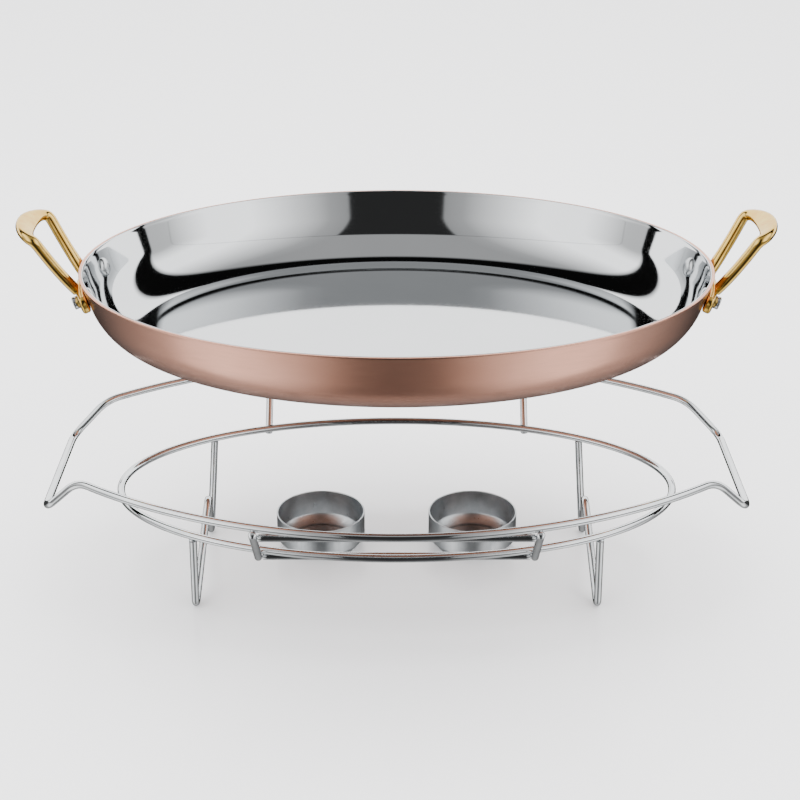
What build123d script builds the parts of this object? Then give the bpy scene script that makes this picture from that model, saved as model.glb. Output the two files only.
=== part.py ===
"""Oval copper serving pan on a chromed wire warmer stand with two tea-light cups.

+X runs along the pan, +Z is up, and the origin is on the table under the stand's centre.
The pan is modelled lifted clear above the stand, and the front of the stand faces -Y.
"""
import os
from math import asin, cos, degrees, pi, radians, sin, sqrt, tan

from build123d import *

# Pan: a pressed oval with a nearly upright wall and a large radius into a flat floor. The swept
# wall takes in a strip of the floor, and the rest of the floor laps over that strip.
pan_length = 320.0
pan_width = 244.0
rim_height = 177.0
pan_depth = 37.0
wall_lean = radians(18)
floor_radius = 32.0
copper_thickness = 1.4
lining_thickness = 0.5
floor_strip = 12.0
floor_lap = 4.0

# Handles: a cast bar along each end wall, two arms that spread as they rise, a sloping thumb plate
bar_half_length = 30.0
bar_height = 9.0
bar_thickness = 4.5
bar_depth = 10.5
bar_corner_radius = 1.6
arm_diameter = 5.4
arm_root_depth = 10.2
arm_root_spread = 12.0
arm_top_spread = 20.0
arm_reach = 17.6
arm_rise = 28.6
arm_pull_out = 0.45
arm_pull_up = 0.35
thumb_reach = 13.0
thumb_slope = 22.0
thumb_width = 10.0
thumb_thickness = 3.6

# Rivets: two through each bar, with a domed head inside and a plain head outside
rivet_spread = 22.0
rivet_radius = 2.0
rivet_outer_radius = 3.2
rivet_outer_height = 2.8
rivet_inner_radius = 5.0
rivet_inner_height = 2.2
dome_radius = (rivet_inner_radius**2 + rivet_inner_height**2) / (2 * rivet_inner_height)
drill_depth = 6.0

# Stand: bent wires, welded where they cross
wire_radius = 2.0
weld_sink = 0.2
butt_sink = 0.5
weld_gap = 2 * wire_radius - weld_sink
bend_reach = 8.0
rail_height = 78.0
rail_half_width = 106.8
rail_bow_radius = 254.0
rail_bow_half_length = 155.0
shoulder_x = 180.0
shoulder_y = 43.0
shoulder_height = 59.4
ring_height = 51.0
ring_half_length = 147.5
ring_half_width = 79.5
leg_top_x = 103.3
leg_top_y = 57.0
foot_x = 106.0
foot_y = 41.1
foot_corner_height = -1.26
peak_x = 101.4
peak_corner_height = 44.0
front_strut_x = 69.0
rear_strut_x = 73.5
strut_overrun = 1.5
stiffener_drop = 0.1

# Tea-light cups: thin pressed steel, standing loose on the table
cup_radius = 24.6
cup_height = 19.4
cup_wall = 0.8
cup_base_radius = 20.5
cup_base_height = 5.0
cup_hole_radius = 3.5
cup_x = 42.5
cup_y = 28.5

os.makedirs("parts", exist_ok=True)


def finish(part, label):
    """Label one piece and write it to its own STEP file."""
    part.label = label
    export_step(part, f"parts/{label}.step")


def wall_outline(skin):
    """Half-section of the pan's surface, `skin` inside the outer face: rim, wall, radius, floor."""
    run = skin / cos(wall_lean)
    depth = pan_depth - skin
    radius = floor_radius - skin
    corner = run + depth * tan(wall_lean)
    turn = pi / 2 - wall_lean
    reach = radius * tan(turn / 2)
    half_turn = turn / 2
    wall_end = (corner - reach * sin(wall_lean), depth - reach * cos(wall_lean))
    arc_middle = (corner + reach - radius * sin(half_turn), depth - radius * (1 - cos(half_turn)))
    floor_start = (corner + reach, depth)
    return (run, 0), wall_end, arc_middle, floor_start


def section_point(point):
    """Place an (inset, depth) pair of the half-section in the XZ plane at the pan's end."""
    inset, depth = point
    return pan_length / 2 - inset, rim_height - depth


def pan_skin(outer_skin, inner_skin):
    """Sweep one layer of the wall round the oval rim and close it with its floor."""
    outer = [section_point(point) for point in wall_outline(outer_skin)]
    inner = [section_point(point) for point in wall_outline(inner_skin)]
    floor_edge = outer[3][0] - floor_strip
    with BuildPart() as skin:
        with BuildLine(Plane.XY.offset(rim_height)) as rim:
            EllipticalCenterArc((0, 0), pan_length / 2, pan_width / 2, arc_size=360)
        with BuildSketch(Plane.XZ):
            with BuildLine():
                Line(outer[0], outer[1])
                ThreePointArc(outer[1], outer[2], outer[3])
                Line(outer[3], (floor_edge, outer[3][1]))
                Line((floor_edge, outer[3][1]), (floor_edge, inner[3][1]))
                Line((floor_edge, inner[3][1]), inner[3])
                ThreePointArc(inner[3], inner[2], inner[1])
                Line(inner[1], inner[0])
                Line(inner[0], outer[0])
            make_face()
        sweep(path=rim.line)
        inset = pan_length / 2 - floor_edge - floor_lap
        with BuildSketch(Plane.XY.offset(outer[3][1])):
            Ellipse(pan_length / 2 - inset, pan_width / 2 - inset)
        extrude(amount=inner_skin - outer_skin)
    return skin.part


def wall_plane(y, depth):
    """A plane on the outer face of the +X end wall, facing straight out of the wall."""
    inset = depth * tan(wall_lean)
    half_length = pan_length / 2 - inset
    half_width = pan_width / 2 - inset
    x = half_length * sqrt(1 - (y / half_width) ** 2)
    along = Vector(x / half_length**2, y / half_width**2, 0).normalized()
    outward = along * cos(wall_lean) - Vector(0, 0, sin(wall_lean))
    return Plane(origin=(x, y, rim_height - depth), z_dir=outward)


def rivet_planes():
    """The four places where a rivet passes through the pan's wall, right pair first."""
    right = [wall_plane(side * rivet_spread, bar_depth) for side in (-1, 1)]
    left = [Plane(origin=(-p.origin.X, p.origin.Y, p.origin.Z), z_dir=(-p.z_dir.X, p.z_dir.Y, p.z_dir.Z))
            for p in right]
    return right + left


def bend(before, corner, after):
    """A smooth bend of the wire at a corner between two straight runs."""
    start = corner + (before - corner).normalized() * bend_reach
    end = corner + (after - corner).normalized() * bend_reach
    return Bezier(start, corner, end)


def straight_wire(start, end):
    """One straight cut length of the stand's wire."""
    with BuildPart() as wire:
        with BuildLine() as run:
            Line(start, end)
        with BuildSketch(Plane(origin=run.line @ 0, z_dir=run.line % 0)):
            Circle(wire_radius)
        sweep(path=run.line)
    return wire.part


def rail_y(x):
    """How far the bowed side of the upper rail stands from the middle, at a place along X."""
    return rail_half_width - rail_bow_radius + sqrt(rail_bow_radius**2 - x**2)


def ring_y(x):
    """How far the lower ring stands from the middle, at a place along X."""
    return ring_half_width * sqrt(1 - (x / ring_half_length) ** 2)


def strut_ends(x):
    """Where a rear strut's middle line passes the ring and the rail, one weld outside each."""
    ring = Vector(x, ring_y(x), ring_height)
    rail = Vector(x, rail_y(x), rail_height)
    outwards = Vector(1, 0, 0).cross((rail - ring).normalized()) * -weld_gap
    return ring + outwards, rail + outwards


# --- Pan body: copper outside, steel lining bonded inside, both drilled for the rivets
for label, outer_skin, inner_skin in (
    ("copper_shell", 0, copper_thickness),
    ("steel_lining", copper_thickness, copper_thickness + lining_thickness),
):
    with BuildPart() as skin:
        add(pan_skin(outer_skin, inner_skin))
        for plane in rivet_planes():
            with BuildSketch(plane):
                Circle(rivet_radius)
            extrude(amount=-drill_depth, mode=Mode.SUBTRACT)
    finish(skin.part, label)

# --- Handles: cast in one piece each, made on the +X end and mirrored to the other
with BuildPart() as handle_right:
    bar_inset = bar_depth * tan(wall_lean)
    bar_half_angle = degrees(asin(bar_half_length / (pan_width / 2 - bar_inset)))
    with BuildLine(Plane.XY.offset(rim_height - bar_depth)) as bar_line:
        EllipticalCenterArc(
            (0, 0),
            pan_length / 2 - bar_inset,
            pan_width / 2 - bar_inset,
            start_angle=-bar_half_angle,
            arc_size=2 * bar_half_angle,
        )
    bar_start = bar_line.line @ 0
    bar_heading = bar_line.line % 0
    bar_outward = bar_heading.cross(Vector(0, 0, 1))
    with BuildSketch(Plane(origin=bar_start, x_dir=bar_outward, z_dir=bar_heading)):
        with Locations((bar_thickness / 2 * cos(wall_lean), bar_thickness / 2 * sin(wall_lean))):
            RectangleRounded(bar_thickness, bar_height, bar_corner_radius, rotation=degrees(wall_lean))
    sweep(path=bar_line.line)
    root = wall_plane(arm_root_spread, arm_root_depth)
    root_x = root.origin.X + bar_thickness
    root_z = rim_height - arm_root_depth
    loop_x = root_x + arm_reach
    loop_z = root_z + arm_rise
    pull_x = root_x + arm_reach * arm_pull_out
    pull_z = root_z + arm_rise * arm_pull_up
    pull_y = arm_root_spread + (arm_top_spread - arm_root_spread) * arm_pull_out
    for side in (-1, 1):
        with BuildLine() as arm_line:
            Bezier(
                (root_x, side * arm_root_spread, root_z),
                (pull_x, side * pull_y, pull_z),
                (loop_x, side * arm_top_spread, loop_z),
            )
        with BuildSketch(Plane(origin=arm_line.line @ 0, z_dir=arm_line.line % 0)):
            Circle(arm_diameter / 2)
        sweep(path=arm_line.line)
        with Locations((loop_x, side * arm_top_spread, loop_z)):
            Sphere(arm_diameter / 2)
    outer_y = arm_top_spread + arm_diameter / 2
    inner_y = arm_top_spread - arm_diameter / 2
    inner_reach = thumb_reach - thumb_width
    thumb_plane = Plane(origin=(loop_x, 0, loop_z)).rotated((0, -thumb_slope, 0))
    with BuildSketch(thumb_plane.offset(-thumb_thickness / 2)):
        with BuildLine():
            EllipticalCenterArc((0, 0), thumb_reach, outer_y, start_angle=-90, arc_size=180)
            Line((0, outer_y), (0, inner_y))
            EllipticalCenterArc((0, 0), inner_reach, inner_y, start_angle=-90, arc_size=180)
            Line((0, -inner_y), (0, -outer_y))
        make_face()
    extrude(amount=thumb_thickness)
    for plane in rivet_planes()[:2]:
        with BuildSketch(plane):
            Circle(rivet_radius)
        extrude(amount=drill_depth, mode=Mode.SUBTRACT)
finish(handle_right.part, "handle_right")
finish(handle_right.part.mirror(Plane.YZ), "handle_left")

# --- Rivets: a plain head on the bar, a shank through bar and wall, and a domed head inside
inside_face = -(copper_thickness + lining_thickness)
for plane, label in zip(
    rivet_planes(),
    ("rivet_right_front", "rivet_right_rear", "rivet_left_front", "rivet_left_rear"),
):
    with BuildPart() as rivet:
        with BuildSketch(plane.offset(bar_thickness)):
            Circle(rivet_outer_radius)
        extrude(amount=rivet_outer_height)
        with BuildSketch(plane.offset(inside_face)):
            Circle(rivet_radius)
        extrude(amount=bar_thickness - inside_face)
        inside = plane.offset(inside_face)
        with BuildSketch(Plane(origin=inside.origin, x_dir=inside.x_dir, z_dir=inside.y_dir)):
            with BuildLine():
                Line((0, 0), (rivet_inner_radius, 0))
                RadiusArc((rivet_inner_radius, 0), (0, rivet_inner_height), -dome_radius)
                Line((0, rivet_inner_height), (0, 0))
            make_face()
        revolve(axis=Axis(inside.origin, inside.z_dir))
    finish(rivet.part, label)

# --- Upper rail: two bowed sides, joined at each end by a dropped bar
with BuildPart() as upper_rail:
    bow_angle = asin(rail_bow_half_length / rail_bow_radius)
    bow_end = Vector(rail_bow_half_length, -rail_y(rail_bow_half_length), rail_height)
    corner = bow_end + Vector(cos(bow_angle), sin(bow_angle), 0) * bend_reach
    bow_middle_x = rail_bow_radius * sin(bow_angle / 2)
    with BuildLine() as rail_line:
        front_shoulder = Vector(shoulder_x, -shoulder_y, shoulder_height)
        rear_shoulder = Vector(shoulder_x, shoulder_y, shoulder_height)
        rear_corner = Vector(corner.X, -corner.Y, corner.Z)
        rear_bow_end = Vector(bow_end.X, -bow_end.Y, bow_end.Z)
        ThreePointArc(
            (0, -rail_half_width, rail_height), (bow_middle_x, -rail_y(bow_middle_x), rail_height), bow_end
        )
        first = bend(bow_end, corner, front_shoulder)
        second = bend(corner, front_shoulder, rear_shoulder)
        third = bend(front_shoulder, rear_shoulder, rear_corner)
        fourth = bend(rear_shoulder, rear_corner, rear_bow_end)
        Line(first @ 1, second @ 0)
        Line(second @ 1, third @ 0)
        Line(third @ 1, fourth @ 0)
        ThreePointArc(
            rear_bow_end, (bow_middle_x, rail_y(bow_middle_x), rail_height), (0, rail_half_width, rail_height)
        )
    with BuildSketch(Plane(origin=(0, -rail_half_width, rail_height), z_dir=(1, 0, 0))):
        Circle(wire_radius)
    sweep(path=rail_line.line)
    mirror(about=Plane.YZ)
finish(upper_rail.part, "upper_rail")

# --- Lower ring: one oval hoop
with BuildPart() as lower_ring:
    with BuildLine(Plane.XY.offset(ring_height)) as ring_line:
        EllipticalCenterArc((0, 0), ring_half_length, ring_half_width, arc_size=360)
    with BuildSketch(Plane(origin=(ring_half_length, 0, ring_height), z_dir=(0, 1, 0))):
        Circle(wire_radius)
    sweep(path=ring_line.line)
finish(lower_ring.part, "lower_ring")

# --- Leg frames: one wire each side, bent down to two feet and up to a peak between them
leg_top_height = ring_height - wire_radius + butt_sink
with BuildPart() as leg_frame_right:
    with BuildLine() as leg_line:
        front_top = Vector(leg_top_x, -leg_top_y, leg_top_height)
        front_foot = Vector(foot_x, -foot_y, foot_corner_height)
        peak = Vector(peak_x, 0, peak_corner_height)
        rear_foot = Vector(foot_x, foot_y, foot_corner_height)
        rear_top = Vector(leg_top_x, leg_top_y, leg_top_height)
        front_bend = bend(front_top, front_foot, peak)
        peak_bend = bend(front_foot, peak, rear_foot)
        rear_bend = bend(peak, rear_foot, rear_top)
        Line(front_top, front_bend @ 0)
        Line(front_bend @ 1, peak_bend @ 0)
        Line(peak_bend @ 1, rear_bend @ 0)
        Line(rear_bend @ 1, rear_top)
    with BuildSketch(Plane(origin=front_top, z_dir=front_foot - front_top)):
        Circle(wire_radius)
    sweep(path=leg_line.line)
finish(leg_frame_right.part, "leg_frame_right")
finish(leg_frame_right.part.mirror(Plane.YZ), "leg_frame_left")

# --- Struts: four short wires welded against the outside of both the ring and the rail
for x_side, x_name in ((-1, "left"), (1, "right")):
    for y_side, y_name, x in ((-1, "front", front_strut_x), (1, "rear", rear_strut_x)):
        foot, head = strut_ends(x)
        along = (head - foot).normalized() * strut_overrun
        start = foot - along
        end = head + along
        wire = straight_wire(
            (x_side * x, y_side * start.Y, start.Z), (x_side * x, y_side * end.Y, end.Z)
        )
        finish(wire, f"strut_{y_name}_{x_name}")

# --- Front stiffeners: straight wires between the front struts, below the rail and the ring
foot, head = strut_ends(front_strut_x)
upper = head + (foot - head) * stiffener_drop
half_length = front_strut_x - wire_radius + weld_sink
for label, y, z in (
    ("front_upper_stiffener", upper.Y, upper.Z),
    ("front_lower_stiffener", ring_y(front_strut_x), ring_height - weld_gap),
):
    finish(straight_wire((-half_length, -y, z), (half_length, -y, z)), label)

# --- Tea-light cups: pressed from thin sheet, with a hole in the middle of the floor
for x_side, label in ((-1, "tea_light_cup_left"), (1, "tea_light_cup_right")):
    with BuildPart() as cup:
        with BuildSketch(Plane(origin=(x_side * cup_x, cup_y, 0), x_dir=(1, 0, 0), z_dir=(0, -1, 0))):
            with BuildLine():
                Polyline(
                    (cup_hole_radius, 0),
                    (cup_base_radius, 0),
                    (cup_radius, cup_base_height),
                    (cup_radius, cup_height),
                    (cup_radius - cup_wall, cup_height),
                    (cup_radius - cup_wall, cup_base_height + cup_wall / 2),
                    (cup_base_radius - cup_wall / 2, cup_wall),
                    (cup_hole_radius, cup_wall),
                    close=True,
                )
            make_face()
        revolve(axis=Axis((x_side * cup_x, cup_y, 0), (0, 0, 1)))
    finish(cup.part, label)
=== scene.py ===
from math import atan2, cos, pi, radians, sin, tan

import bpy
import numpy as np
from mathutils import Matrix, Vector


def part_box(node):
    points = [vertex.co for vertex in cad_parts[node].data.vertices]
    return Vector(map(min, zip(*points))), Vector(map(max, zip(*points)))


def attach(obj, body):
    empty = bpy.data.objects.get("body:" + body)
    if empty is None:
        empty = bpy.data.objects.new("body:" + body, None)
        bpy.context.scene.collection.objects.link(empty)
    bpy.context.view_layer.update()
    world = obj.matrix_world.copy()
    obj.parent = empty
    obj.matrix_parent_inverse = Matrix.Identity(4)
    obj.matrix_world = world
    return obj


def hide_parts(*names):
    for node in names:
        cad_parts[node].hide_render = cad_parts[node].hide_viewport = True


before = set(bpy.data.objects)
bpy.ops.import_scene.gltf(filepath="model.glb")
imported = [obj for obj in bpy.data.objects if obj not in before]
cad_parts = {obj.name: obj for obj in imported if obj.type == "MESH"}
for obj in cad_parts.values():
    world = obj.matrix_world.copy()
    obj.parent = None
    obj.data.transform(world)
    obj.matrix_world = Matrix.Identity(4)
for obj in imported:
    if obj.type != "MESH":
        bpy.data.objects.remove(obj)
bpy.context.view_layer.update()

# --- Copper shell -------------------------------------------------------------------------
# The outside of the pan: one oval pressed from copper sheet, with a nearly upright wall
# that turns through a large radius into the flat base, and a plain trimmed edge.
mm = 0.001
copper_low, copper_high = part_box("copper_shell")
rim_half_length = copper_high.x
rim_half_width = copper_high.y
rim_z = copper_high.z
pan_depth = copper_high.z - copper_low.z
wall_lean = radians(18)
floor_radius = 32 * mm
copper_thickness = 1.4 * mm
lip_round = 0.35 * mm


def linear(code):
    """Linear colour of an sRGB hex code: c / 12.92 up to 0.04045, else ((c + 0.055) / 1.055) ** 2.4."""
    c = np.array([int(code[i : i + 2], 16) for i in (1, 3, 5)]) / 255
    c = np.where(c <= 0.04045, c / 12.92, ((c + 0.055) / 1.055) ** 2.4)
    return (*c, 1.0)


def add_node(material, kind, settings=(), links=()):
    """Adds one shader node, sets its sockets or properties by name, and links sockets into it."""
    node = material.node_tree.nodes.new(kind)
    for key, value in dict(settings).items():
        if key in node.inputs:
            node.inputs[key].default_value = value
        else:
            setattr(node, key, value)
    for key, source in dict(links).items():
        material.node_tree.links.new(source, node.inputs[key])
    return node


def new_material(name):
    """An empty node material and its output node."""
    material = bpy.data.materials.new(name)
    material.use_nodes = True
    material.node_tree.nodes.clear()
    return material, add_node(material, "ShaderNodeOutputMaterial")


def polished_metal(name, light, dark, tone, roughness, grain, streak, bump):
    """A metal whose tone and roughness drift over `grain` metres and whose polishing marks run
    along the axes where `streak` is small: noise drives the colour, roughness and a low bump."""
    material, output = new_material(name)
    place = add_node(material, "ShaderNodeTexCoord").outputs["Object"]
    drift = add_node(
        material,
        "ShaderNodeTexNoise",
        {"Scale": 1 / grain, "Detail": 3.0, "Roughness": 0.55},
        {"Vector": place},
    ).outputs["Fac"]
    stretched = add_node(material, "ShaderNodeMapping", {"Scale": streak}, {"Vector": place})
    marks = add_node(
        material,
        "ShaderNodeTexNoise",
        {"Scale": 1.0, "Detail": 4.0, "Roughness": 0.6},
        {"Vector": stretched.outputs["Vector"]},
    ).outputs["Fac"]
    colour = add_node(material, "ShaderNodeValToRGB", links={"Fac": drift})
    colour.color_ramp.elements[0].position = 0.5 - tone
    colour.color_ramp.elements[0].color = linear(dark)
    colour.color_ramp.elements[1].position = 0.5 + tone
    colour.color_ramp.elements[1].color = linear(light)
    rough = add_node(
        material,
        "ShaderNodeMapRange",
        {"From Min": 0.3, "From Max": 0.7, "To Min": roughness[0], "To Max": roughness[1]},
        {"Value": marks},
    )
    relief = add_node(
        material, "ShaderNodeBump", {"Strength": bump, "Distance": 0.05 * mm}, {"Height": marks}
    )
    shader = add_node(
        material,
        "ShaderNodeBsdfPrincipled",
        {"Metallic": 1.0},
        {
            "Base Color": colour.outputs["Color"],
            "Roughness": rough.outputs["Result"],
            "Normal": relief.outputs["Normal"],
        },
    )
    material.node_tree.links.new(shader.outputs["BSDF"], output.inputs["Surface"])
    return material


def build_mesh(name, points, faces):
    """A smooth-shaded object at the origin from an (n, 3) array of points and lists of corners."""
    mesh = bpy.data.meshes.new(name)
    mesh.from_pydata(points.tolist(), [], faces)
    mesh.update()
    mesh.polygons.foreach_set("use_smooth", np.ones(len(mesh.polygons), bool))
    piece = bpy.data.objects.new(name, mesh)
    bpy.context.scene.collection.objects.link(piece)
    return piece


def grid_faces(rows, columns, start=0, close_rows=False):
    """Quads of a grid that closes on itself along its columns, and along its rows if asked."""
    i = np.arange(rows if close_rows else rows - 1)[:, None]
    j = np.arange(columns)[None, :]
    below = (i + 1) % rows
    beside = (j + 1) % columns
    corners = (i * columns + j, i * columns + beside, below * columns + beside, below * columns + j)
    return (np.stack(np.broadcast_arrays(*corners), -1).reshape(-1, 4) + start).tolist()


def closed_surface(grid):
    """Points and faces of a grid (rows, columns, 3) whose first and last rows shrink to poles."""
    rows, columns = grid.shape[:2]
    points = np.vstack([grid.reshape(-1, 3), grid[0].mean(0), grid[-1].mean(0)])
    faces = grid_faces(rows, columns)
    first, last = rows * columns, rows * columns + 1
    j = np.arange(columns)
    k = (j + 1) % columns
    faces += np.stack([k, j, np.full(columns, first)], -1).tolist()
    base = (rows - 1) * columns
    faces += np.stack([base + j, base + k, np.full(columns, last)], -1).tolist()
    return points, faces


def add_piece(name, points, faces, material, body, node, slot):
    """Builds one piece, gives it its metal, and lets it stand for its CAD node on a body."""
    piece = build_mesh(name, points, faces)
    piece.data.materials.append(material)
    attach(piece, body)
    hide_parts(node)
    return piece


def wall_section(skin, steps=40):
    """Inset and depth of a pan surface `skin` inside the outer face, from the edge to the flat floor:
    a straight leaning wall, then an arc that turns by 90 degrees less the lean."""
    radius = floor_radius - skin
    depth = pan_depth - skin
    turn = pi / 2 - wall_lean
    reach = radius * tan(turn / 2)
    floor_start = skin / cos(wall_lean) + depth * tan(wall_lean) + reach
    angle = wall_lean + np.linspace(0, turn, steps)
    arc_inset = floor_start - radius * np.cos(angle)
    arc_depth = depth - radius + radius * np.sin(angle)
    share = np.linspace(0, 1, 12, endpoint=False)[1:]
    wall_inset = skin / cos(wall_lean) + share * (arc_inset[0] - skin / cos(wall_lean))
    wall_depth = share * arc_depth[0]
    return np.append(wall_inset, arc_inset), np.append(wall_depth, arc_depth)


def oval_rows(inset, depth, columns=432):
    """Rings of the pan: the rim ellipse moved inwards along its own normal by each inset."""
    turn = np.linspace(0, 2 * pi, columns, endpoint=False)
    normal = np.stack([np.cos(turn) / rim_half_length, np.sin(turn) / rim_half_width], -1)
    normal /= np.linalg.norm(normal, axis=-1, keepdims=True)
    rim = np.stack([rim_half_length * np.cos(turn), rim_half_width * np.sin(turn)], -1)
    flat = rim[None] - np.asarray(inset)[:, None, None] * normal[None]
    height = np.broadcast_to(rim_z - np.asarray(depth)[:, None, None], flat.shape[:2] + (1,))
    return np.concatenate([flat, height], -1)


def floor_rows(edge_row, shares):
    """Rings of the flat floor: its edge ring shrunk towards the middle by each share."""
    middle = edge_row.mean(0)
    return middle + (edge_row - middle)[None] * np.asarray(shares)[:, None, None]


def pan_layer(outer_skin, inner_skin):
    """A closed layer of the pan: underside from the middle out, up the wall, over the rounded
    edge, down the inner wall and back to the middle of the floor."""
    shares = [0.02, 0.1, 0.25, 0.45, 0.65, 0.85, 0.97]
    outer = oval_rows(*wall_section(outer_skin))
    inner = oval_rows(*wall_section(inner_skin))
    across = np.linspace(0, pi, 9)
    middle = (outer_skin + inner_skin) / 2 / cos(wall_lean)
    half = (inner_skin - outer_skin) / 2 / cos(wall_lean)
    lip = oval_rows(middle - half * np.cos(across), lip_round * (1 - np.sin(across) ** 0.5))
    return np.concatenate(
        [floor_rows(outer[-1], shares), outer[::-1], lip, inner, floor_rows(inner[-1], shares[::-1])]
    )


copper = polished_metal(
    "satin_polished_copper",
    light="#dea791",
    dark="#d29a84",
    tone=0.2,
    roughness=(0.20, 0.27),
    grain=60 * mm,
    streak=(90, 90, 1400),
    bump=0.10,
)
add_piece(
    "pan_copper_shell",
    *closed_surface(pan_layer(0, copper_thickness)),
    copper,
    "pan",
    "copper_shell",
    "copper",
)

# --- Steel lining -------------------------------------------------------------------------
# A thin stainless steel skin bonded to the inside of the copper, polished to a mirror.
# Its edge is trimmed flush with the copper's, so it shows as a bright line along the rim.
lining_thickness = 0.5 * mm
lining_steel = polished_metal(
    "mirror_polished_stainless_steel",
    light="#d6d8da",
    dark="#cdd0d2",
    tone=0.25,
    roughness=(0.035, 0.06),
    grain=80 * mm,
    streak=(500, 500, 500),
    bump=0.012,
)
add_piece(
    "pan_steel_lining",
    *closed_surface(pan_layer(copper_thickness, copper_thickness + lining_thickness)),
    lining_steel,
    "pan",
    "steel_lining",
    "polished_steel",
)

# --- Handles ------------------------------------------------------------------------------
# One brass casting at each end: a bar that follows the wall and takes two rivets, and a loop
# whose round arms spread as they rise and flatten into a thumb plate that slopes on upwards.
bar_depth = 10.5 * mm
bar_thickness = 4.5 * mm
bar_height = 9 * mm
bar_half_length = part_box("handle_right")[1].y - 0.3 * mm
arm_diameter = 5.4 * mm
arm_root_depth = 10.2 * mm
arm_root_spread = 12 * mm
arm_top_spread = 20 * mm
arm_reach = 17.6 * mm
arm_rise = 28.6 * mm
arm_pull = np.array([0.45, 0.45, 0.35])
thumb_reach = 13 * mm
thumb_slope = radians(22)
thumb_width = 10 * mm
thumb_thickness = 3.6 * mm


def super_ellipse(angle, power):
    """Cosine and sine of an angle, bulged towards a box as the power rises above 2."""
    c, s = np.cos(angle), np.sin(angle)
    return np.sign(c) * np.abs(c) ** (2 / power), np.sign(s) * np.abs(s) ** (2 / power)


def swept_section(path, side, lift, half_side, half_lift, power, columns=40):
    """A closed section carried along a path: path + side * a * cos + lift * b * sin, where the
    half sizes a and b and the section's power are given at each point of the path."""
    angle = np.linspace(0, 2 * pi, columns, endpoint=False)[None, :]
    c, s = super_ellipse(angle, np.asarray(power)[:, None])
    across = side[:, None] * (c * half_side[:, None])[..., None]
    upward = lift[:, None] * (s * half_lift[:, None])[..., None]
    return path[:, None] + across + upward


def unit(vectors):
    """Vectors scaled to length one."""
    return vectors / np.linalg.norm(vectors, axis=-1, keepdims=True)


def wall_point(y, depth):
    """Points on the outer face of the +X end wall, and the wall's outward normal there."""
    inset = depth * tan(wall_lean)
    half_length = rim_half_length - inset
    half_width = rim_half_width - inset
    x = half_length * np.sqrt(1 - (y / half_width) ** 2)
    point = np.stack([x, y, np.full_like(y, rim_z - depth)], -1)
    flat = unit(np.stack([x / half_length**2, y / half_width**2, np.zeros_like(y)], -1))
    return point, flat * cos(wall_lean) - np.array([0, 0, sin(wall_lean)])


def handle_bar():
    """The bar: a rounded box section carried along the wall, drawn in to a blunt end."""
    y = np.sin(np.linspace(-pi / 2, pi / 2, 90)) * bar_half_length
    point, outward = wall_point(y, bar_depth)
    along = unit(np.gradient(point, axis=0))
    upright = np.cross(along, outward)
    end = np.clip((bar_half_length - np.abs(y)) / (3 * mm), 0, 1)
    blunt = np.sqrt(1 - (1 - end) ** 2)
    middle = point + outward * bar_thickness / 2
    full = np.full_like(y, 1.0)
    return swept_section(
        middle,
        outward,
        upright,
        full * bar_thickness / 2 * (0.3 + 0.7 * blunt),
        full * bar_height / 2 * np.maximum(blunt, 0.02),
        full * 4,
    )


def handle_loop():
    """The loop: up one arm, round the thumb plate and down the other arm. The corners of the
    path are eased by averaging it over a few millimetres, and the section widens from a round
    arm to a flat plate with the square of the sine of the way round the tip."""
    root = wall_point(np.array([arm_root_spread]), arm_root_depth)[0][0]
    root = root + np.array([bar_thickness, 0, 0])
    climb = np.array([arm_reach, arm_top_spread - arm_root_spread, arm_rise])
    t = np.linspace(0, 1, 120)[:, None]
    knee = root + climb * arm_pull
    top = root + climb
    arm = (1 - t) ** 2 * root + 2 * t * (1 - t) * knee + t**2 * top
    way = np.linspace(0, pi, 160)[1:-1]
    out = (thumb_reach - thumb_width / 2) * np.sin(way)
    tip = np.stack(
        [
            top[0] + out * cos(thumb_slope),
            arm_top_spread * np.cos(way),
            top[2] + out * sin(thumb_slope),
        ],
        -1,
    )
    path = np.concatenate([arm, tip, arm[::-1] * np.array([1, -1, 1])])
    plate = np.concatenate([np.zeros(120), np.sin(way) ** 2, np.zeros(120)])
    window = np.hanning(33)
    window /= window.sum()
    ease = lambda line: np.convolve(np.pad(line, 16, mode="edge"), window, mode="valid")
    path = np.stack([ease(path[:, 0]), ease(path[:, 1]), ease(path[:, 2])], -1)
    plate = ease(plate)
    heading = unit(np.gradient(path, axis=0))
    plate_up = np.array([-sin(thumb_slope), 0, cos(thumb_slope)])
    inward = unit(np.cross(heading, plate_up))
    lift = np.cross(heading, inward)
    near_root = np.linspace(0, 9, len(path))
    flare = np.exp(-(near_root**2)) + np.exp(-(near_root[::-1] ** 2))
    half_side = arm_diameter / 2 * (1 + 0.4 * flare) + plate * (thumb_width - arm_diameter) / 2
    half_lift = arm_diameter / 2 - plate * (arm_diameter - thumb_thickness) / 2
    return swept_section(path, inward, lift, half_side, half_lift, 2.2 + 1.6 * plate)


cast_brass = polished_metal(
    "polished_cast_brass",
    light="#e2bd6a",
    dark="#cfa64f",
    tone=0.2,
    roughness=(0.10, 0.2),
    grain=6 * mm,
    streak=(260, 260, 260),
    bump=0.25,
)
for side, name in ((1, "handle_right"), (-1, "handle_left")):
    points, faces = np.zeros((0, 3)), []
    for part in (handle_bar(), handle_loop()):
        part = part if side > 0 else part[:, ::-1] * np.array([-1, 1, 1])
        part_points, part_faces = closed_surface(part)
        faces += [[corner + len(points) for corner in face] for face in part_faces]
        points = np.vstack([points, part_points])
    add_piece("pan_" + name, points, faces, cast_brass, "pan", name, "cast_brass")

# --- Rivets -------------------------------------------------------------------------------
# Four steel rivets hold the handles: a plain round head outside on the brass bar, a shank
# through bar and wall, and a domed head inside on the polished lining.
rivet_radius = 2 * mm
rivet_outer_radius = 3.2 * mm
rivet_outer_height = 2.8 * mm
rivet_inner_radius = 5 * mm
rivet_inner_height = 2.2 * mm
rivet_spread = 22 * mm


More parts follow.
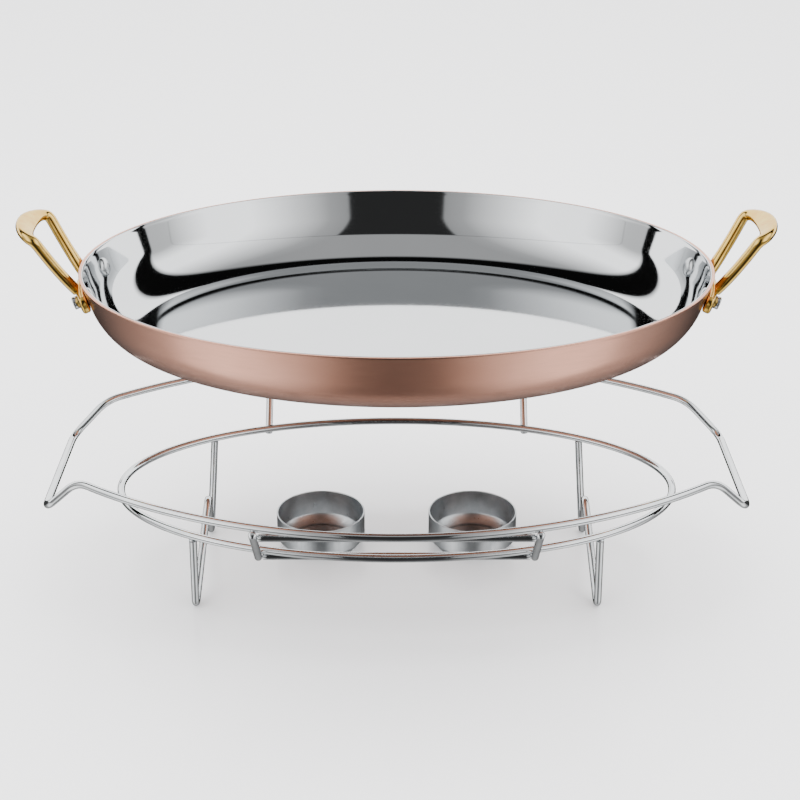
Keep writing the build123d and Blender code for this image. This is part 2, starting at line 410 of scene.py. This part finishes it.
def turned(radius, height, origin, axis, columns=48):
    """A profile of radii and heights turned about an axis through an origin."""
    axis = unit(np.asarray(axis, float))
    across = unit(np.cross(axis, [0.0, 1.0, 0.0]))
    beside = np.cross(axis, across)
    angle = np.linspace(0, 2 * pi, columns, endpoint=False)
    circle = np.cos(angle)[:, None] * across + np.sin(angle)[:, None] * beside
    return np.asarray(origin) + radius[:, None, None] * circle[None] + height[:, None, None] * axis


def rivet_profile():
    """Radius and height from the top of the inside dome to the middle of the outside head."""
    dome = np.linspace(0.03, pi / 2, 16)
    inside = -(copper_thickness + lining_thickness)
    corner = np.linspace(0, pi / 2, 7)
    soft = 0.5 * mm
    top = bar_thickness + rivet_outer_height
    radius = np.concatenate(
        [
            rivet_inner_radius * np.sin(dome),
            [rivet_radius, rivet_radius, rivet_outer_radius, rivet_outer_radius],
            rivet_outer_radius - soft + soft * np.cos(corner),
            [rivet_outer_radius * crown for crown in (0.6, 0.1)],
        ]
    )
    height = np.concatenate(
        [
            inside - rivet_inner_height * np.cos(dome),
            [inside, bar_thickness, bar_thickness, top - soft * 1.2],
            top - soft + soft * np.sin(corner),
            [top, top],
        ]
    )
    return radius, height


rivet_steel = polished_metal(
    "turned_rivet_steel",
    light="#c6c8c9",
    dark="#a9acae",
    tone=0.2,
    roughness=(0.14, 0.24),
    grain=5 * mm,
    streak=(600, 600, 600),
    bump=0.15,
)
for side, side_name in ((1, "right"), (-1, "left")):
    for y_side, y_name in ((-1, "front"), (1, "rear")):
        origin, outward = wall_point(np.array([y_side * rivet_spread]), bar_depth)
        flip = np.array([side, 1, 1])
        rivet = turned(*rivet_profile(), origin[0], outward[0]) * flip
        rivet = rivet if side > 0 else rivet[:, ::-1]
        name = f"rivet_{side_name}_{y_name}"
        add_piece("pan_" + name, *closed_surface(rivet), rivet_steel, "pan", name, "rivet_steel")

# --- Upper rail ---------------------------------------------------------------------------
# The top of the stand: one 4 mm steel wire bent into two bowed sides and two dropped ends,
# welded into a loop and chrome plated with the rest of the stand.
wire_radius = 2 * mm
bend_reach = 8 * mm
weld_sink = 0.2 * mm
rail_low, rail_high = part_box("upper_rail")
rail_z = rail_high.z - wire_radius
rail_half_width = rail_high.y - wire_radius
rail_bow_radius = 254 * mm
rail_bow_half_length = 155 * mm
rail_end_x = rail_high.x - wire_radius
rail_end_y = 43 * mm
rail_end_z = rail_low.z + wire_radius


def bend(before, corner, after, steps=14):
    """A wire bend: the quadratic curve that leaves one straight run and joins the next."""
    before, corner, after = (np.asarray(p, float) for p in (before, corner, after))
    start = corner + unit(before - corner) * bend_reach
    end = corner + unit(after - corner) * bend_reach
    t = np.linspace(0, 1, steps)[:, None]
    return (1 - t) ** 2 * start + 2 * t * (1 - t) * corner + t**2 * end


def wire(path, reference, closed=False, columns=28):
    """A round wire along a path: circles square to the path, started from a fixed direction.
    An open wire's cut ends are drawn in over their last fraction of a millimetre."""
    if closed:
        ahead, behind = np.roll(path, -1, 0), np.roll(path, 1, 0)
    else:
        ahead = np.vstack([path[1:], path[-1:]])
        behind = np.vstack([path[:1], path[:-1]])
    heading = unit(ahead - behind)
    side = unit(np.cross(heading, np.asarray(reference, float)))
    lift = np.cross(heading, side)
    angle = np.linspace(0, 2 * pi, columns, endpoint=False)
    c, s = np.cos(angle)[None, :, None], np.sin(angle)[None, :, None]
    circle = c * side[:, None] + s * lift[:, None]
    grid = path[:, None] + wire_radius * circle
    if closed:
        return grid.reshape(-1, 3), grid_faces(len(path), columns, close_rows=True)
    shrink = np.minimum(np.array([0.0, 0.5, 0.85, 1.0])[:, None, None] + 1e-3, 1)
    cap_length = wire_radius * 0.35
    soft = cap_length * np.array([0.0, 0.05, 0.35, 1.0])[:, None, None]
    first = path[0] + (grid[0] - path[0])[None] * shrink + heading[0] * soft
    last = path[-1] + (grid[-1] - path[-1])[None] * shrink[::-1] - heading[-1] * soft[::-1]
    return closed_surface(np.concatenate([first, grid[1:-1], last]))


def rail_y(x):
    """Half the rail's width at a place along its bowed sides."""
    return rail_half_width - rail_bow_radius + np.sqrt(rail_bow_radius**2 - x**2)


def rail_path():
    """A quarter of the rail from the middle of its front, mirrored to the rear and to the left."""
    x = np.linspace(0, rail_bow_half_length, 70)
    bow = np.stack([x, -rail_y(x), np.full_like(x, rail_z)], -1)
    heading = unit(np.array([rail_y(x[-1]) - rail_half_width + rail_bow_radius, x[-1], 0]))
    corner = bow[-1] + heading * bend_reach
    end = np.array([rail_end_x, -rail_end_y, rail_end_z])
    first = bend(bow[-1], corner, end)
    second = bend(corner, end, end * np.array([1, -1, 1]))
    quarter = np.concatenate([bow[:-1], first, second])
    half = np.concatenate([quarter, quarter[::-1] * np.array([1, -1, 1])])
    return np.concatenate([half, half[::-1][1:-1] * np.array([-1, 1, 1])])


chrome = polished_metal(
    "chrome_plated_wire",
    light="#dfe1e2",
    dark="#cfd2d4",
    tone=0.2,
    roughness=(0.05, 0.11),
    grain=15 * mm,
    streak=(400, 400, 400),
    bump=0.05,
)
add_piece(
    "stand_upper_rail",
    *wire(rail_path(), (0, 0, 1), closed=True),
    chrome,
    "stand",
    "upper_rail",
    "chromed_wire",
)

# --- Lower ring ---------------------------------------------------------------------------
# An oval hoop of the same wire below the rail. The legs are welded under it and the struts
# outside it.
ring_low, ring_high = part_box("lower_ring")
ring_z = (ring_low.z + ring_high.z) / 2
ring_half_length = ring_high.x - wire_radius
ring_half_width = ring_high.y - wire_radius
turn = np.linspace(0, 2 * pi, 300, endpoint=False)
ring_path = np.stack(
    [ring_half_length * np.cos(turn), ring_half_width * np.sin(turn), np.full_like(turn, ring_z)], -1
)
add_piece(
    "stand_lower_ring",
    *wire(ring_path, (0, 0, 1), closed=True),
    chrome,
    "stand",
    "lower_ring",
    "chromed_wire",
)

# --- Leg frames ---------------------------------------------------------------------------
# One wire on each side, bent down to a front foot, up to a peak in the middle and down to a
# rear foot, with its two ends welded under the ring.
butt_sink = 0.5 * mm
leg_top = np.array([103.3 * mm, -57 * mm, ring_z - wire_radius + butt_sink])
leg_foot = np.array([106.0, -41.1, -1.26]) * mm
leg_peak = np.array([101.4, 0.0, 44.0]) * mm
to_rear = np.array([1, -1, 1])
leg_path = np.concatenate(
    [
        np.linspace(leg_top, leg_top + (leg_foot - leg_top) * 0.02, 3),
        bend(leg_top, leg_foot, leg_peak),
        bend(leg_foot, leg_peak, leg_foot * to_rear),
        bend(leg_top, leg_foot, leg_peak)[::-1] * to_rear,
        np.linspace(leg_top, leg_top + (leg_foot - leg_top) * 0.02, 3)[::-1] * to_rear,
    ]
)
for side, name in ((1, "leg_frame_right"), (-1, "leg_frame_left")):
    path = leg_path * np.array([side, 1, 1])
    add_piece("stand_" + name, *wire(path, (1, 0, 0)), chrome, "stand", name, "chromed_wire")

# --- Struts -------------------------------------------------------------------------------
# Four short cut wires that carry the rail: each leans outwards and is welded against the
# outside of both the ring and the rail, with its ends standing a little proud.
weld_gap = 2 * wire_radius - weld_sink
strut_overrun = 1.5 * mm
front_strut_x = 69 * mm
rear_strut_x = 73.5 * mm


def straight(start, end):
    """Points along one straight cut of wire, close together near its ends."""
    return start + (end - start) * np.array([0, 0.02, 0.1, 0.5, 0.9, 0.98, 1])[:, None]


for side, side_name in ((1, "right"), (-1, "left")):
    for y_side, y_name, x in ((-1, "front", front_strut_x), (1, "rear", rear_strut_x)):
        ring_side_y = ring_half_width * np.sqrt(1 - (x / ring_half_length) ** 2)
        on_ring = np.array([x, ring_side_y, ring_z])
        on_rail = np.array([x, rail_y(x), rail_z])
        climb = unit(on_rail - on_ring)
        clear = np.array([0, climb[2], -climb[1]]) * weld_gap
        strut_foot = on_ring + clear - climb * strut_overrun
        strut_head = on_rail + clear + climb * strut_overrun
        path = straight(strut_foot, strut_head) * np.array([side, y_side, 1])
        name = f"strut_{y_name}_{side_name}"
        add_piece("stand_" + name, *wire(path, (1, 0, 0)), chrome, "stand", name, "chromed_wire")

# --- Front stiffeners ---------------------------------------------------------------------
# Two straight wires across the front, cut to fit between the two front struts: one below the
# rail and one under the front of the ring.
for name in ("front_upper_stiffener", "front_lower_stiffener"):
    low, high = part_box(name)
    middle = (low + high) / 2
    half = np.array([high.x, 0, 0])
    centre = np.array([0, middle.y, middle.z])
    add_piece(
        "stand_" + name,
        *wire(straight(centre - half, centre + half), (0, 0, 1)),
        chrome,
        "stand",
        name,
        "chromed_wire",
    )

# --- Tea-light cups -----------------------------------------------------------------------
# Two loose cups pressed from thin stainless steel. The bottom edge is drawn in at a slant,
# the floor has a low raised ring, and a hole is punched through its middle.
cup_wall = 0.8 * mm
cup_base_radius = 20.5 * mm
cup_base_height = 5 * mm
cup_hole_radius = 3.5 * mm


def cup_profile(radius, height):
    """Outside and inside of the cup from the hole's edge, round the rim and back to the hole."""
    edge = np.linspace(0, pi, 9)
    inner = radius - cup_wall
    r = np.concatenate(
        [
            [cup_hole_radius, cup_hole_radius + 1 * mm, cup_base_radius - 1 * mm],
            [cup_base_radius, radius - 0.4 * mm, radius, radius],
            radius - cup_wall / 2 + cup_wall / 2 * np.cos(edge),
            [inner, inner, inner - 0.5 * mm, cup_base_radius - 0.8 * mm],
            [17.5 * mm, 16.5 * mm, 15.5 * mm, 14.5 * mm, cup_hole_radius + 1 * mm, cup_hole_radius],
        ]
    )
    h = np.concatenate(
        [
            [0.1 * mm, 0, 0],
            [0.1 * mm, cup_base_height - 0.4 * mm, cup_base_height + 0.2 * mm, height - 1 * mm],
            height - cup_wall / 2 + cup_wall / 2 * np.sin(edge),
            [height - 1 * mm, cup_base_height + 0.5 * mm, cup_base_height - 0.2 * mm, 0.9 * mm],
            [0.9 * mm, 1.3 * mm, 1.3 * mm, 0.9 * mm, 0.9 * mm, 0.7 * mm],
        ]
    )
    return r, h


cup_steel = polished_metal(
    "pressed_stainless_steel",
    light="#c2c5c7",
    dark="#a5a9ac",
    tone=0.2,
    roughness=(0.27, 0.4),
    grain=9 * mm,
    streak=(700, 700, 60),
    bump=0.12,
)
for name, body in (("tea_light_cup_left", "cup_left"), ("tea_light_cup_right", "cup_right")):
    low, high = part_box(name)
    centre = (low + high) / 2
    radius, height = cup_profile((high.x - low.x) / 2, high.z - low.z)
    grid = turned(radius, height, (centre.x, centre.y, low.z), (0, 0, 1), columns=96)
    faces = grid_faces(*grid.shape[:2], close_rows=True)
    add_piece("loose_" + name, grid.reshape(-1, 3), faces, cup_steel, body, name, "cup_steel")

# --- Studio -------------------------------------------------------------------------------
# A pale satin table, soft lamps, and a dome that only reflections see. The dome carries bright
# panels either side of the camera, a dark gap between them, a dark band past the top and a
# white rear. Under the table's level it is dim near the horizon and bright further down.
floor_material, floor_output = new_material("pale_satin_acrylic_board")
floor_place = add_node(floor_material, "ShaderNodeTexCoord").outputs["Object"]
floor_noise = add_node(
    floor_material, "ShaderNodeTexNoise", {"Scale": 3.0, "Detail": 2.0}, {"Vector": floor_place}
)
floor_rough = add_node(
    floor_material,
    "ShaderNodeMapRange",
    {"To Min": 0.16, "To Max": 0.22},
    {"Value": floor_noise.outputs["Fac"]},
)
floor_shader = add_node(
    floor_material,
    "ShaderNodeBsdfPrincipled",
    {"Base Color": linear("#f3f3f4"), "IOR": 1.4},
    {"Roughness": floor_rough.outputs["Result"]},
)
floor_material.node_tree.links.new(floor_shader.outputs["BSDF"], floor_output.inputs["Surface"])
floor_half_width = 6.0
floor_corners = np.array([[-1, -1, 0], [1, -1, 0], [1, 1, 0], [-1, 1, 0]]) * floor_half_width
floor = build_mesh("studio_floor", floor_corners, [[0, 1, 2, 3]])
floor.data.materials.append(floor_material)

dome_radius = 4.0


def dome_glow(side, over):
    """Brightness of the studio seen in reflections. `side` is the angle in degrees away from
    the middle plane and `over` rises from the camera's side (0) over the top (90) to the rear
    (180), or dips under the floor when negative. Panels either side of the camera are brightest
    from 42 to 58 degrees, with a dark gap between them that is filled overhead. A dark band
    lies past the top, from 113 to 134 degrees over, and the rear is white. Under the floor it
    is dim down to 38 degrees, bright below 50, and fades out towards the rear."""
    panel_angle = [0, 12.4, 12.8, 18, 28, 42, 58, 75, 90]
    panel_glow = [0.035, 0.035, 0.48, 0.6, 1.4, 2.8, 2.8, 1.0, 0.7]
    panels = np.interp(side, panel_angle, panel_glow)
    filled = np.maximum(panels, 0.5)
    ceiling = np.interp(over, [55, 58, 108, 113, 134, 138], [0, 1, 1, 0, 0, 0])
    rear = np.interp(over, [134, 138], [0.005, 2.9])
    above = np.where(over < 56.5, panels, filled * ceiling + rear)
    front_floor = np.interp(side, [0, 10, 16, 36, 60, 90], [0.2, 0.28, 0.75, 2.1, 1.5, 0.8])
    front_floor = front_floor * np.interp(over, [-90, -50, -38, 0], [1, 1, 0.22, 0.22])
    rear_floor = np.interp(over, [-180, -150, -120, -90], [0.06, 0.06, 0.4, 0.8])
    below = np.where(over > -90, front_floor, rear_floor)
    return np.where(over > 0, above, below)


rows, columns = 721, 361
side_limit = 89.9  # just short of the dome's two poles
over = np.linspace(-180, 180, rows)[:, None]
side = np.linspace(-side_limit, side_limit, columns)[None, :]
over, side = np.broadcast_arrays(over, side)
direction = np.stack(
    [
        np.sin(np.radians(side)),
        -np.cos(np.radians(side)) * np.cos(np.radians(over)),
        np.cos(np.radians(side)) * np.sin(np.radians(over)),
    ],
    -1,
)
glow = dome_glow(np.abs(side), over)
index = np.arange(rows * columns).reshape(rows, columns)
dome_faces = np.stack([index[:-1, :-1], index[1:, :-1], index[1:, 1:], index[:-1, 1:]], -1)
dome_points = (direction * dome_radius).reshape(-1, 3)
dome = build_mesh("studio_dome", dome_points, dome_faces.reshape(-1, 4).tolist())
dome.data.attributes.new("glow", "FLOAT", "POINT").data.foreach_set("value", glow.reshape(-1))
dome_material, dome_output = new_material("softbox_cloth_and_black_felt")
dome_light = add_node(dome_material, "ShaderNodeAttribute", {"attribute_name": "glow"})
dome_shader = add_node(
    dome_material, "ShaderNodeEmission", {"Strength": 1.0}, {"Strength": dome_light.outputs["Fac"]}
)
dome_material.node_tree.links.new(dome_shader.outputs["Emission"], dome_output.inputs["Surface"])
dome.data.materials.append(dome_material)
dome.visible_camera = False
dome.visible_diffuse = False
dome.visible_shadow = False
dome.visible_transmission = False
floor.visible_glossy = False


def soft_lamp(name, place, aim, size, power):
    """A square soft lamp that lights the table but isn't mirrored in the metal."""
    lamp = bpy.data.lights.new(name, "AREA")
    lamp.size = size
    lamp.energy = power
    holder = bpy.data.objects.new(name, lamp)
    holder.location = place
    x, y, z = (a - b for a, b in zip(aim, place))
    holder.rotation_euler = (atan2((x * x + y * y) ** 0.5, -z), 0, atan2(x, -y) + pi)
    holder.visible_glossy = False
    holder.visible_camera = False
    bpy.context.scene.collection.objects.link(holder)


soft_lamp("overhead_lamp", (0, 0.2, 2.2), (0, 0, 0), 2.0, 75)
soft_lamp("left_lamp", (-1.8, -1.2, 1.4), (0, 0, 0.1), 1.2, 20)
soft_lamp("right_lamp", (1.8, -1.2, 1.4), (0, 0, 0.1), 1.2, 20)

studio_air = bpy.data.worlds.new("studio_air")
studio_air.use_nodes = True
background = studio_air.node_tree.nodes["Background"]
background.inputs["Color"].default_value = linear("#f4f4f5")
background.inputs["Strength"].default_value = 2.6
bpy.context.scene.world = studio_air

# --- Camera -------------------------------------------------------------------------------
# A long lens a little above the pan, looking down at the front of the stand.
camera_pitch = radians(24.68)
camera_distance = 892.7 * mm
camera_aim_z = 100.8 * mm
camera_data = bpy.data.cameras.new("front_camera")
camera_data.lens = 76.5
camera_data.sensor_width = 36
camera_data.shift_x = 0.00425
camera_data.clip_end = 50
camera = bpy.data.objects.new("front_camera", camera_data)
camera.location = (
    0,
    -camera_distance * cos(camera_pitch),
    camera_aim_z + camera_distance * sin(camera_pitch),
)
camera.rotation_euler = (pi / 2 - camera_pitch, 0, 0)
bpy.context.scene.collection.objects.link(camera)
bpy.context.scene.camera = camera
